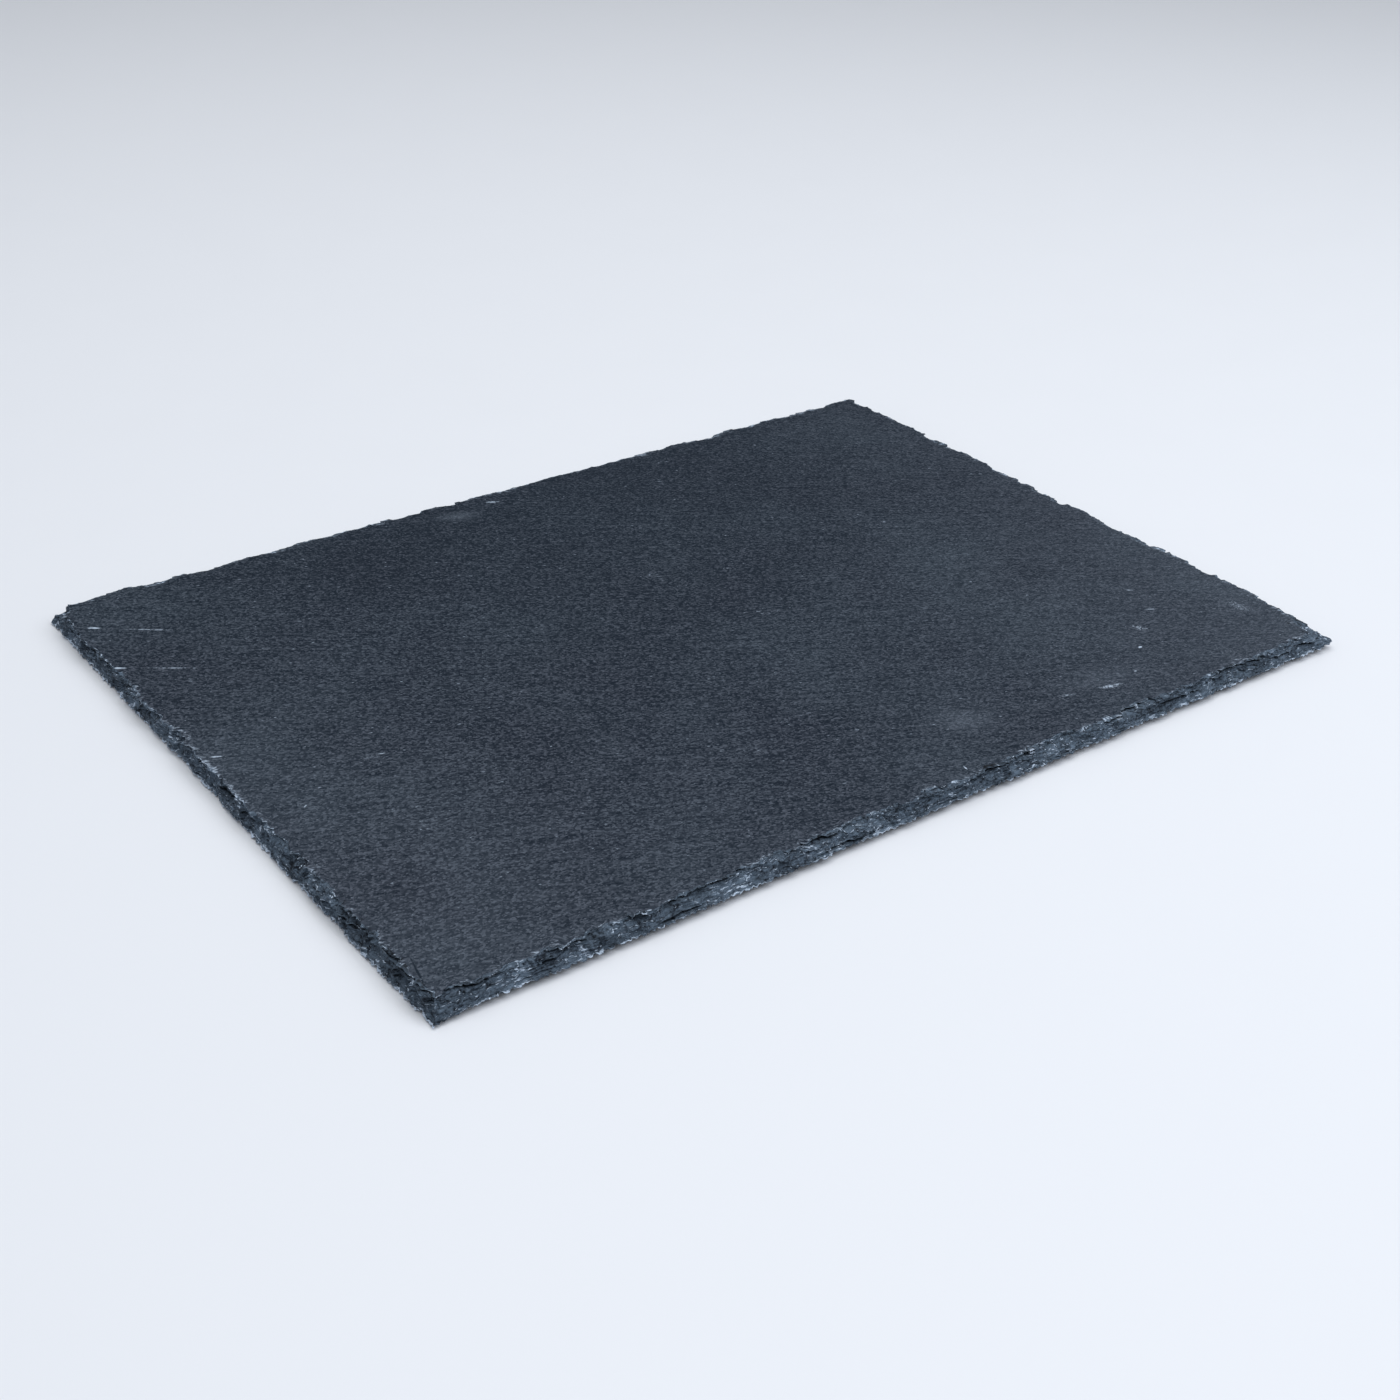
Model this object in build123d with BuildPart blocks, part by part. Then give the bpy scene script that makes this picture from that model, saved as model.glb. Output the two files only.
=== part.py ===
from build123d import *
from math import hypot, sin
import os

# A natural slate board on four stick-on feet.
#
# The board is one riven leaf of slate. Its faces are as the stone split, and its four edges
# were broken by hand from above, so they flare: the underside is the full size, and the top
# face stands in from it. The break follows the stone's bedding, so it comes down in leaves,
# and each blow of the hammer left a shallow bowl along the shoulder.
#
# The row's frame: the table is Z = 0, +Z is up, +X runs along the board's long side and +Y
# towards its back. The origin is under the middle of the board.

os.makedirs("parts", exist_ok=True)

# ---- Driving dimensions, in millimetres ------------------------------------------------

board_length = 400.0
board_width = 300.0
slate_thickness = 6.0

foot_diameter = 12.0
foot_setback = 28.0
foot_rim_radius = 0.4
foam_thickness = 1.8
adhesive_thickness = 0.2

# How far the top face stands in from the underside at the ends and at the long sides.
end_inset = 3.6
side_inset = 5.3

# The leaves of the broken edge, from the lowest up: the share of the thickness where each
# one ends, and the share of the inset at its foot and at its head.
leaf_steps = (
    (0.12, 0.00, 0.00),
    (0.42, 0.03, 0.36),
    (0.72, 0.48, 0.66),
    (1.00, 0.80, 1.00),
)

# The bowls that the hammer left: one to each pitch along a side, cut as part of a ball. Each
# is deepest at this share of the thickness, so it takes more of the shoulder than of the lip.
blow_pitch = 34.0
blow_radius = 26.0
blow_depth = 0.9
blow_height_share = 0.8
blow_unevenness = 0.35
blow_wander = 7.0

# The two corners that lost their upper leaves: side of the board along X and Y, ball, depth.
corner_chips = (
    (1, -1, 30.0, 1.8),
    (-1, 1, 18.0, 1.3),
)

# ---- Heights and places worked out from them -------------------------------------------

slate_bottom = foam_thickness + adhesive_thickness
half_length = board_length / 2
half_width = board_width / 2

foot_places = {
    "front_left": (-half_length + foot_setback, -half_width + foot_setback),
    "front_right": (half_length - foot_setback, -half_width + foot_setback),
    "back_left": (-half_length + foot_setback, half_width - foot_setback),
    "back_right": (half_length - foot_setback, half_width - foot_setback),
}


def ball_over_slope(inset, radius, depth):
    """Where a ball's centre stands so that it bites this deep into a flaring edge.

    Gives the distance outwards from the underside's outline, and the height.
    """
    slope = hypot(slate_thickness, inset)
    reach = radius - depth
    outwards = reach * slate_thickness / slope - blow_height_share * inset
    height = slate_bottom + blow_height_share * slate_thickness + reach * inset / slope
    return outwards, height


def blow_places(side_length, side_number):
    """The places along one side, from its middle, where the hammer struck, with each depth."""
    count = int(side_length // blow_pitch)
    for strike in range(count):
        swing = sin(2.3 * strike + 1.7 * side_number)
        along = (strike + 0.5 - count / 2) * side_length / count + blow_wander * swing
        depth = blow_depth * (1 + blow_unevenness * sin(3.1 * strike + side_number))
        yield along, depth


# ---- The stone ---------------------------------------------------------------------------

with BuildPart() as slate_slab:
    leaf_foot = slate_bottom
    for top_share, foot_share, head_share in leaf_steps:
        leaf_head = slate_bottom + top_share * slate_thickness
        for height, share in ((leaf_foot, foot_share), (leaf_head, head_share)):
            with BuildSketch(Plane.XY.offset(height)):
                Rectangle(
                    board_length - 2 * share * end_inset,
                    board_width - 2 * share * side_inset,
                )
        loft(ruled=True)
        leaf_foot = leaf_head

    # The blows along the two long sides, then along the two ends.
    for side_number, side in enumerate((-1, 1)):
        for along, depth in blow_places(board_length, side_number):
            outwards, height = ball_over_slope(side_inset, blow_radius, depth)
            with Locations((along, side * (half_width + outwards), height)):
                Sphere(blow_radius, mode=Mode.SUBTRACT)
        for along, depth in blow_places(board_width, side_number + 2):
            outwards, height = ball_over_slope(end_inset, blow_radius, depth)
            with Locations((side * (half_length + outwards), along, height)):
                Sphere(blow_radius, mode=Mode.SUBTRACT)

    # The chipped corners: a ball over the corner takes its upper leaves.
    for x_side, y_side, radius, depth in corner_chips:
        outwards, height = ball_over_slope(hypot(end_inset, side_inset), radius, depth)
        diagonal = outwards / 2**0.5
        with Locations(
            (x_side * (half_length + diagonal), y_side * (half_width + diagonal), height)
        ):
            Sphere(radius, mode=Mode.SUBTRACT)

slate_slab.part.label = "slate_slab"
export_step(slate_slab.part, "parts/slate_slab.step")

# ---- The feet and their adhesive -----------------------------------------------------------

for corner, (foot_x, foot_y) in foot_places.items():
    with BuildPart() as adhesive_disc:
        with BuildSketch(Plane.XY.offset(foam_thickness)):
            with Locations((foot_x, foot_y)):
                Circle(foot_diameter / 2)
        extrude(amount=adhesive_thickness)
    adhesive_disc.part.label = f"adhesive_disc_{corner}"
    export_step(adhesive_disc.part, f"parts/adhesive_disc_{corner}.step")

    with BuildPart() as foot_pad:
        with BuildSketch():
            with Locations((foot_x, foot_y)):
                Circle(foot_diameter / 2)
        extrude(amount=foam_thickness)
        fillet(foot_pad.edges().group_by(Axis.Z)[0], foot_rim_radius)
    foot_pad.part.label = f"foot_pad_{corner}"
    export_step(foot_pad.part, f"parts/foot_pad_{corner}.step")
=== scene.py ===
"""The looks of a natural slate board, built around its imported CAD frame.

The board is one riven leaf of dark blue-grey slate on four stick-on foam feet. The CAD stone is
plain, so a full one stands for it here: its faces are riven, and its edges are broken by hand
and come down in thin leaves, with shell-shaped bites, open clefts, splinters that still hang on
the ledges and crushed grains along every lip. Sizes and places come from the frame. The script
works in metres, and MM turns the millimetres that a maker would say into them.
"""

import logging
import math
from collections.abc import Iterator, Mapping, Sequence
from dataclasses import dataclass, field
from enum import Enum
from typing import Any

import bpy
import numpy as np
from mathutils import Matrix, Vector
from mathutils.geometry import delaunay_2d_cdt

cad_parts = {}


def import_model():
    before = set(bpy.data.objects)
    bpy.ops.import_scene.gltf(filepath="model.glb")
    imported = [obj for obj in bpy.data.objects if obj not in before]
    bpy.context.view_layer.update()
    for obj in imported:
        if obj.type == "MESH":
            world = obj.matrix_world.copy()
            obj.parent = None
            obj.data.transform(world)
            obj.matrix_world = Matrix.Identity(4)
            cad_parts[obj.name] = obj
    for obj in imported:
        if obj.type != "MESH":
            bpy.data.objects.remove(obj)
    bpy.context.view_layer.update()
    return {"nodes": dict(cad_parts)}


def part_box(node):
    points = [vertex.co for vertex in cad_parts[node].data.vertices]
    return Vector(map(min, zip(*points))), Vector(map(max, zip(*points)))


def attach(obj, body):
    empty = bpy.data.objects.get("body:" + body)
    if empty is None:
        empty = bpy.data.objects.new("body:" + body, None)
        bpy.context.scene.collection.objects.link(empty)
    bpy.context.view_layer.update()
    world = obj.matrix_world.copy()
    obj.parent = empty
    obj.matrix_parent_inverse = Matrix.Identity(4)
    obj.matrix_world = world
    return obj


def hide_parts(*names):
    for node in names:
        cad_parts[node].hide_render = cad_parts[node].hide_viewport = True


MM = 0.001
log = logging.getLogger("slate_board")

Colour = tuple[float, float, float, float]

MATHS = "ShaderNodeMath"
VECTORS = "ShaderNodeVectorMath"
NOISE = "ShaderNodeTexNoise"
VORONOI = "ShaderNodeTexVoronoi"
MIX = "ShaderNodeMix"
RANGE = "ShaderNodeMapRange"
SPLIT = "ShaderNodeSeparateXYZ"
JOIN = "ShaderNodeCombineXYZ"


# ---- Small tools ---------------------------------------------------------------------------


def linear(hex_colour: str) -> Colour:
    """Turns an sRGB hex colour to linear light.

    Args:
        hex_colour: Six hex digits after a hash, such as "#3a4450".

    Returns:
        Red, green, blue and an alpha of 1.
    """
    shares = [int(hex_colour[i : i + 2], 16) / 255 for i in (1, 3, 5)]
    light = [c / 12.92 if c <= 0.04045 else ((c + 0.055) / 1.055) ** 2.4 for c in shares]
    return (light[0], light[1], light[2], 1.0)


def per(size: float) -> float:
    """The scale of a pattern whose features are this many millimetres wide."""
    return 1 / (size * MM)


def add_node(
    tree: bpy.types.NodeTree,
    kind: str,
    inputs: Mapping[str | int, Any] | None = None,
    **settings: Any,
) -> bpy.types.Node:
    """Adds one node to a tree, sets it up and links it.

    Args:
        tree: The shader or geometry tree that gets the node.
        kind: Blender's name for the kind of node.
        inputs: Input name or number to a value, a socket, or a node whose first live output
            is meant.
        **settings: The node's own settings, such as operation="ADD".

    Returns:
        The new node.
    """
    node = tree.nodes.new(kind)
    for name, value in settings.items():
        setattr(node, name, value)
    for key, value in (inputs or {}).items():
        if isinstance(key, int):
            socket = node.inputs[key]
        else:
            socket = next(s for s in node.inputs if s.name == key and s.enabled)
        if isinstance(value, bpy.types.Node):
            value = next(s for s in value.outputs if s.enabled)
        if isinstance(value, bpy.types.NodeSocket):
            tree.links.new(value, socket)
        else:
            socket.default_value = value
    return node


def new_geometry_tree(name: str, sizes: Mapping[str, float]) -> tuple[bpy.types.NodeTree, Any]:
    """Starts a geometry tree with named inputs for its sizes.

    Args:
        name: The tree's name.
        sizes: Input name to its default value, in metres or as a plain number.

    Returns:
        The tree, and its Group Input node.
    """
    tree = bpy.data.node_groups.new(name, "GeometryNodeTree")
    tree.interface.new_socket("Geometry", in_out="INPUT", socket_type="NodeSocketGeometry")
    tree.interface.new_socket("Geometry", in_out="OUTPUT", socket_type="NodeSocketGeometry")
    for size_name, value in sizes.items():
        socket = tree.interface.new_socket(size_name, in_out="INPUT", socket_type="NodeSocketFloat")
        socket.default_value = value
    return tree, add_node(tree, "NodeGroupInput")


def end_geometry_tree(
    tree: bpy.types.NodeTree, made: bpy.types.Node, material: bpy.types.Material
) -> None:
    """Ends a geometry tree in Realize Instances and Set Material.

    Args:
        tree: The tree to end.
        made: The node whose first output is the finished geometry.
        material: What the geometry is made of.
    """
    plain = add_node(tree, "GeometryNodeRealizeInstances", {"Geometry": made})
    dressed = add_node(tree, "GeometryNodeSetMaterial", {"Geometry": plain, "Material": material})
    add_node(tree, "NodeGroupOutput", {"Geometry": dressed})


def run_geometry_tree(
    piece: bpy.types.Object, tree: bpy.types.NodeTree, sizes: Mapping[str, float]
) -> None:
    """Runs a geometry tree on a piece and keeps the result as its plain mesh.

    Args:
        piece: The object to work on. It has no modifier afterwards.
        tree: The tree to run.
        sizes: Input name to value, for the tree's named inputs.
    """
    modifier = piece.modifiers.new(tree.name, "NODES")
    modifier.node_group = tree
    for item in tree.interface.items_tree:
        if item.item_type == "SOCKET" and item.in_out == "INPUT" and item.name in sizes:
            modifier[item.identifier] = sizes[item.name]
    depsgraph = bpy.context.evaluated_depsgraph_get()
    result = bpy.data.meshes.new_from_object(
        piece.evaluated_get(depsgraph), preserve_all_data_layers=True, depsgraph=depsgraph
    )
    piece.modifiers.remove(modifier)
    piece.data = result


def new_material(name: str) -> tuple[bpy.types.Material, Any, Any]:
    """Starts a material.

    Args:
        name: The material's name.

    Returns:
        The material, its empty tree, and the Object coordinates.
    """
    material = bpy.data.materials.new(name)
    material.use_nodes = True
    tree = material.node_tree
    tree.nodes.clear()
    return material, tree, add_node(tree, "ShaderNodeTexCoord").outputs["Object"]


def end_material(tree: Any, looks: Mapping[str, Any]) -> None:
    """Ends a material's tree in its surface, with looks by the shader's input names."""
    shader = add_node(tree, "ShaderNodeBsdfPrincipled", looks)
    add_node(tree, "ShaderNodeOutputMaterial", {"Surface": shader})


def link_new(name: str, mesh: bpy.types.Mesh) -> bpy.types.Object:
    """Puts a mesh in the scene as an object at the origin."""
    mesh.name = name
    piece = bpy.data.objects.new(name, mesh)
    bpy.context.scene.collection.objects.link(piece)
    return piece


def triangle_count(piece: bpy.types.Object) -> int:
    """How many triangles a piece's mesh comes to."""
    return sum(len(face.vertices) - 2 for face in piece.data.polygons)


# ---- Finishes ------------------------------------------------------------------------------


@dataclass(frozen=True)
class RivenSlate:
    """Natural slate as it splits: a dark, dull blue-grey with a faint silky sheen.

    A tight salt-and-pepper grain covers the face, drawn out along the stone's lineation, over
    fine streaks and over clouds of a bluer and a browner grey. The face's tone is painted paler
    towards the front and the ends: painted light, for the sheen that the lamps lay there. Fresh
    breaks are fibrous along the bedding, with pale rims where one scar meets the next, painted
    shade just beside each rim, near-black painted shade at the back of the open clefts, and
    crushed nearly white where a lip has been struck. Sizes are in millimetres, and a gain says
    how far a pattern swings the tone. The real grain is about 0.1 mm and is drawn coarser here,
    so that it shows.
    """

    blue_dark: str = "#081825"
    blue_light: str = "#4f5963"
    grey_dark: str = "#0a1724"
    grey_light: str = "#525762"
    break_dark: str = "#0a121b"
    break_light: str = "#5e6d7c"
    pale: str = "#c0cfe0"
    # Near black for the painted shade at the back of the open clefts.
    painted_cleft_shade: str = "#020406"
    roughness: float = 0.7
    ior: float = 1.5
    gloss: float = 0.15

    # The face. Its tone is painted paler towards the front, by so much for each metre, and
    # towards the ends, by so much for each metre squared: painted light, for the lamps' sheen there.
    cloud_size: float = 75.0
    streak_length: float = 26.0
    streak_width: float = 1.2
    clump_size: float = 2.2
    grain_size: float = 0.52
    flake_size: float = 0.9
    tone: float = 0.362
    painted_light_frontwards: float = 0.86
    painted_light_endwards: float = 4.3
    hue_gain: float = 1.4
    cloud_gain: float = 0.37
    streak_gain: float = 0.65
    clump_gain: float = 0.3
    grain_gain: float = 0.82

    # The frost of fine scratches just inside the face's edge.
    frost_patch_size: float = 14.0
    frost_speck_size: float = 1.3

    # The breaks.
    fibre_length: float = 5.0
    fibre_height: float = 1.65
    grit_size: float = 1.1
    patch_size: float = 9.0
    rim_spacing: float = 5.0
    fleck_size: float = 1.8
    break_tone: float = 0.64

    def material(self, marks: Sequence["Mark"] = ()) -> bpy.types.Material:
        """Makes the material.

        Args:
            marks: The single marks that splitting and use have left on the working face.

        Returns:
            The slate, which reads the stone's attributes flow, scar, broken, lip, hollow and
            shoulder. Hollow says where painted shade goes into the open clefts.
        """
        material, tree, place = new_material("riven_slate")
        read = {
            name: add_node(tree, "ShaderNodeAttribute", attribute_name=name)
            for name in ("flow", "scar", "broken", "lip", "hollow", "shoulder")
        }
        flow, scar = (read[name].outputs["Vector"] for name in ("flow", "scar"))
        numbers = ("broken", "lip", "hollow", "shoulder")
        broken, lip, hollow, shoulder = (read[name].outputs["Fac"] for name in numbers)

        face, face_height = self._face(tree, flow, place)
        for mark in marks:
            face = mark.over(tree, face, place, self)
        worn = self._worn(tree, face, shoulder, flow)
        fresh, fresh_height = self._break(tree, scar, lip, hollow, place)
        faces = {"Factor": broken, "A": worn, "B": fresh}
        colour = add_node(tree, MIX, faces, data_type="RGBA")
        height = add_node(tree, MIX, {"Factor": broken, "A": face_height, "B": fresh_height})
        relief = add_node(tree, "ShaderNodeBump", {"Height": height, "Distance": MM})
        looks = {
            "Base Color": colour,
            "Roughness": self.roughness,
            "IOR": self.ior,
            "Specular IOR Level": self.gloss,
            "Normal": relief,
        }
        end_material(tree, looks)
        return material

    def _face(self, tree: Any, flow: Any, place: Any) -> tuple[Any, Any]:
        """The riven face: its colour and its relief in millimetres."""
        broad = {"Vector": place, "Scale": per(self.cloud_size), "Detail": 3.0}
        clouds = add_node(tree, NOISE, broad)
        sizes = (per(self.streak_length), per(self.streak_width), 0.0)
        stretched = add_node(tree, VECTORS, {0: flow, 1: sizes}, operation="MULTIPLY")
        streaks = add_node(tree, NOISE, {"Vector": stretched, "Scale": 1.0, "Detail": 3.0})
        drawn = add_node(tree, VECTORS, {0: flow, 1: (0.65, 1.05, 0.0)}, operation="MULTIPLY")
        tight = {"Vector": drawn, "Scale": per(self.clump_size), "Detail": 3.0}
        clumps = add_node(tree, NOISE, tight)
        grains = add_node(tree, VORONOI, {"Vector": drawn, "Scale": per(self.grain_size)})
        chance = add_node(tree, SPLIT, {"Vector": grains.outputs["Color"]})
        # Squared, so that few grains are bright and most are dark.
        grain = add_node(tree, MATHS, {0: chance, 1: 2.0}, operation="POWER")

        # Painted light: the tone is lifted towards the front and towards both ends, where the sheen
        # falls.
        parts = add_node(tree, SPLIT, {"Vector": place}).outputs
        paler = {0: parts["Y"], 1: -self.painted_light_frontwards, 2: self.tone}
        tone = add_node(tree, MATHS, paler, operation="MULTIPLY_ADD")
        endwards = add_node(tree, MATHS, {0: parts["X"], 1: 2.0}, operation="POWER")
        paler = {0: endwards, 1: self.painted_light_endwards, 2: tone}
        tone = add_node(tree, MATHS, paler, operation="MULTIPLY_ADD")
        tone = self._swung(
            tree,
            tone,
            (grain, self.grain_gain),
            (clumps, self.clump_gain),
            (streaks, self.streak_gain),
            (clouds, self.cloud_gain),
        )
        hue = self._swung(tree, 0.5, (clouds, self.hue_gain))
        ends = ((self.grey_dark, self.blue_dark), (self.grey_light, self.blue_light))
        shades = [
            add_node(tree, MIX, {"Factor": hue, "A": linear(a), "B": linear(b)}, data_type="RGBA")
            for a, b in ends
        ]
        shaded = {"Factor": tone, "A": shades[0], "B": shades[1]}
        plain = add_node(tree, MIX, shaded, data_type="RGBA")

        thin = add_node(tree, VECTORS, {0: flow, 1: (0.4, 1.0, 0.0)}, operation="MULTIPLY")
        flat = {"Vector": thin, "Scale": per(self.flake_size), "Detail": 1.0}
        flakes = add_node(tree, NOISE, flat)
        rarest = {"Value": flakes, "From Min": 0.74, "From Max": 0.82, "To Max": 0.5}
        bright = add_node(tree, RANGE, rarest)
        flaked = {"Factor": bright, "A": plain, "B": linear(self.pale)}
        colour = add_node(tree, MIX, flaked, data_type="RGBA")
        return colour, self._swung(tree, 0.0, (streaks, 0.08), (clumps, 0.12))

    def _worn(self, tree: Any, colour: Any, shoulder: Any, flow: Any) -> Any:
        """The face's colour with the frosted band just inside its edge."""
        wide = {"Vector": flow, "Scale": per(self.frost_patch_size), "Detail": 2.0}
        patches = add_node(tree, NOISE, wide)
        drawn = add_node(tree, VECTORS, {0: flow, 1: (0.45, 1.2, 0.0)}, operation="MULTIPLY")
        fine = {"Vector": drawn, "Scale": per(self.frost_speck_size), "Detail": 3.0}
        specks = add_node(tree, NOISE, {**fine, "Roughness": 0.7})
        reach = self._swung(tree, 0.0, (specks, 3.0), (patches, 2.0))
        reach = add_node(tree, MATHS, {0: shoulder, 1: 0.75, 2: reach}, operation="MULTIPLY_ADD")
        return self._frosted(tree, colour, reach, (0.62, 1.45, 0.7))

    def _break(self, tree: Any, scar: Any, lip: Any, cleft: Any, place: Any) -> tuple[Any, Any]:
        """A broken face, fibrous along the bedding, with painted shade by its rims and in its clefts:
        its colour and its relief.
        """
        sizes = (per(self.fibre_length), per(self.fibre_length), per(self.fibre_height))
        bedded = add_node(tree, VECTORS, {0: scar, 1: sizes}, operation="MULTIPLY")
        combed = {"Vector": bedded, "Scale": 1.0, "Detail": 3.0, "Distortion": 1.4}
        fibres = add_node(tree, NOISE, combed)
        rough = {"Vector": place, "Scale": per(self.grit_size), "Detail": 3.0, "Roughness": 0.75}
        grit = add_node(tree, NOISE, rough)
        wide = {"Vector": place, "Scale": per(self.patch_size), "Detail": 2.0}
        patches = add_node(tree, NOISE, wide)
        flat = add_node(tree, VECTORS, {0: scar, 1: (1.0, 1.0, 1.4)}, operation="MULTIPLY")
        shells = {"Vector": flat, "Scale": per(self.rim_spacing)}
        rims = add_node(tree, VORONOI, shells, feature="DISTANCE_TO_EDGE")

        tone = self._swung(tree, self.break_tone, (fibres, 1.8), (grit, 1.8), (patches, 1.2))
        # Painted shade: the tone is darkened just beside each scar rim, as if the rim shaded it.
        hollow = {"Value": rims, "From Max": 0.16, "To Min": -0.3, "To Max": 0.0}
        painted_rim_shade = add_node(tree, RANGE, hollow)
        tone = add_node(tree, MATHS, {0: tone, 1: painted_rim_shade}, operation="ADD")
        shades = {"Factor": tone, "A": linear(self.break_dark), "B": linear(self.break_light)}
        shade = add_node(tree, MIX, shades, data_type="RGBA")

        drawn = add_node(tree, VECTORS, {0: scar, 1: (0.55, 0.55, 1.1)}, operation="MULTIPLY")
        fine = {"Vector": drawn, "Scale": per(self.fleck_size), "Detail": 3.0, "Roughness": 0.7}
        flecks = add_node(tree, NOISE, fine)
        crest = {"Value": rims, "From Max": 0.05, "To Min": 0.55, "To Max": 0.0}
        near_rim = add_node(tree, RANGE, crest)
        reach = self._swung(tree, near_rim, (flecks, 4.6), (patches, 1.6))
        reach = add_node(tree, MATHS, {0: lip, 1: 0.42, 2: reach}, operation="MULTIPLY_ADD")
        struck = self._frosted(tree, shade, reach, (0.55, 1.15, 0.95))
        # Painted shade: the back of each open cleft is mixed towards near black.
        dark = add_node(tree, RANGE, {"Value": cleft, "From Max": 0.6, "To Max": 0.8})
        painted_cleft_shading = {"Factor": dark, "A": struck, "B": linear(self.painted_cleft_shade)}
        colour = add_node(tree, MIX, painted_cleft_shading, data_type="RGBA")
        return colour, self._swung(tree, 0.0, (fibres, 0.30), (grit, 0.35))

    def _frosted(self, tree: Any, colour: Any, reach: Any, limits: Sequence[float]) -> Any:
        """Lays crushed, pale stone over a colour.

        Args:
            tree: The material's tree.
            colour: The node whose colour lies underneath.
            reach: The node that says where the stone is crushed.
            limits: The reach where crushing starts, where it is full, and how pale it then is.

        Returns:
            The node with the frosted colour.
        """
        start, full, most = limits
        span = {"Value": reach, "From Min": start, "From Max": full, "To Max": most}
        much = add_node(tree, RANGE, span, interpolation_type="SMOOTHSTEP")
        frosted = {"Factor": much, "A": colour, "B": linear(self.pale)}
        return add_node(tree, MIX, frosted, data_type="RGBA")

    @staticmethod
    def _swung(tree: Any, around: Any, *patterns: tuple[Any, float]) -> Any:
        """Adds each pattern's swing about its middle, times its gain, to a number or a node."""
        for pattern, gain in patterns:
            swing = add_node(tree, MATHS, {0: pattern, 1: 0.5}, operation="SUBTRACT")
            added = {0: swing, 1: gain, 2: around}
            around = add_node(tree, MATHS, added, operation="MULTIPLY_ADD")
        return around


class Tone(Enum):
    """Whether a mark is paler or darker than the slate round it."""

    PALE = "pale"
    DARK = "dark"


@dataclass(frozen=True)
class Mark:
    """One mark on the working face, as an oval of scattered specks.

    Its place is in millimetres from the middle of the board, and its turn in degrees. Its level
    is the face's, and its depth how far it fades below that, both in millimetres.
    """

    x: float
    y: float
    length: float
    width: float
    turn: float = 0.0
    strength: float = 0.6
    speck: float = 1.0
    sparse: float = 0.16
    fade: float = 0.2
    tone: Tone = Tone.PALE
    level: float = 8.0
    depth: float = 6.0

    def over(self, tree: Any, colour: Any, place: Any, slate: RivenSlate) -> bpy.types.Node:
        """Lays the mark over a colour.

        Args:
            tree: The material's tree.
            colour: The node whose colour lies underneath.
            place: The Object coordinates.
            slate: The finish, which knows how pale or dark a mark is.

        Returns:
            The node with the marked colour.
        """
        span = {
            "Vector": place,
            "Location": (self.x * MM, self.y * MM, self.level * MM),
            "Rotation": (0.0, 0.0, math.radians(self.turn)),
            "Scale": (self.length / 2 * MM, self.width / 2 * MM, self.depth * MM),
        }
        oval = add_node(tree, "ShaderNodeMapping", span, vector_type="TEXTURE")
        ball = add_node(tree, "ShaderNodeTexGradient", {"Vector": oval}, gradient_type="SPHERICAL")
        fine = {"Vector": place, "Scale": per(self.speck), "Detail": 2.0, "Roughness": 0.7}
        specks = add_node(tree, NOISE, fine)
        reach = add_node(tree, MATHS, {0: ball, 1: specks}, operation="MULTIPLY")
        limits = {"From Min": self.sparse, "From Max": self.sparse + self.fade}
        limits |= {"Value": reach, "To Max": self.strength}
        much = add_node(tree, RANGE, limits, interpolation_type="SMOOTHSTEP")
        over = slate.pale if self.tone is Tone.PALE else slate.blue_dark
        marked = {"Factor": much, "A": colour, "B": linear(over)}
        return add_node(tree, MIX, marked, data_type="RGBA")


@dataclass(frozen=True)
class FootFoam:
    """Closed-cell EVA foam, die-cut: near black, dull, with a skin of tiny cells."""

    dark: str = "#17181a"
    light: str = "#2a2b2e"
    cell_size: float = 0.35
    dust_size: float = 2.5
    roughness: float = 0.85
    ior: float = 1.49

    def material(self) -> bpy.types.Material:
        """Makes the material."""
        material, tree, place = new_material("eva_foam")
        cells = add_node(tree, VORONOI, {"Vector": place, "Scale": per(self.cell_size)})
        dusty = {"Vector": place, "Scale": per(self.dust_size), "Detail": 3.0}
        dust = add_node(tree, NOISE, dusty)
        shades = {"Factor": dust, "A": linear(self.dark), "B": linear(self.light)}
        colour = add_node(tree, MIX, shades, data_type="RGBA")
        relief = add_node(tree, "ShaderNodeBump", {"Height": cells, "Distance": 0.08 * MM})
        looks = {"Base Color": colour, "Roughness": self.roughness, "IOR": self.ior}
        end_material(tree, {**looks, "Normal": relief})
        return material


@dataclass(frozen=True)
class FootAdhesive:
    """Acrylic transfer adhesive: a milky, slightly yellow film, softly glossy at its rim."""

    clear: str = "#c9c4ae"
    cloudy: str = "#e2dfd0"
    haze_size: float = 1.5
    roughness: float = 0.4
    ior: float = 1.47

    def material(self) -> bpy.types.Material:
        """Makes the material."""
        material, tree, place = new_material("acrylic_adhesive")
        soft = {"Vector": place, "Scale": per(self.haze_size), "Detail": 2.0}
        haze = add_node(tree, NOISE, soft)
        shades = {"Factor": haze, "A": linear(self.clear), "B": linear(self.cloudy)}
        colour = add_node(tree, MIX, shades, data_type="RGBA")
        relief = add_node(tree, "ShaderNodeBump", {"Height": haze, "Distance": 0.05 * MM})
        looks = {"Base Color": colour, "Roughness": self.roughness, "IOR": self.ior}
        end_material(tree, {**looks, "Normal": relief})
        return material


@dataclass(frozen=True)
class TableLacquer:
    """White lacquered board, satin: even, with a hardly visible unevenness of gloss."""

    colour: str = "#e6e8eb"
    wave_size: float = 40.0
    roughness: float = 0.45
    unevenness: float = 0.04

    def material(self) -> bpy.types.Material:
        """Makes the material."""
        material, tree, place = new_material("table_lacquer")
        wavy = {"Vector": place, "Scale": per(self.wave_size), "Detail": 2.0}
        waves = add_node(tree, NOISE, wavy)
        limits = {"To Min": self.roughness - self.unevenness}
        limits |= {"To Max": self.roughness + self.unevenness}
        gloss = add_node(tree, RANGE, {"Value": waves, **limits})
        end_material(tree, {"Base Color": linear(self.colour), "Roughness": gloss})
        return material


# ---- The stone -----------------------------------------------------------------------------


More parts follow.
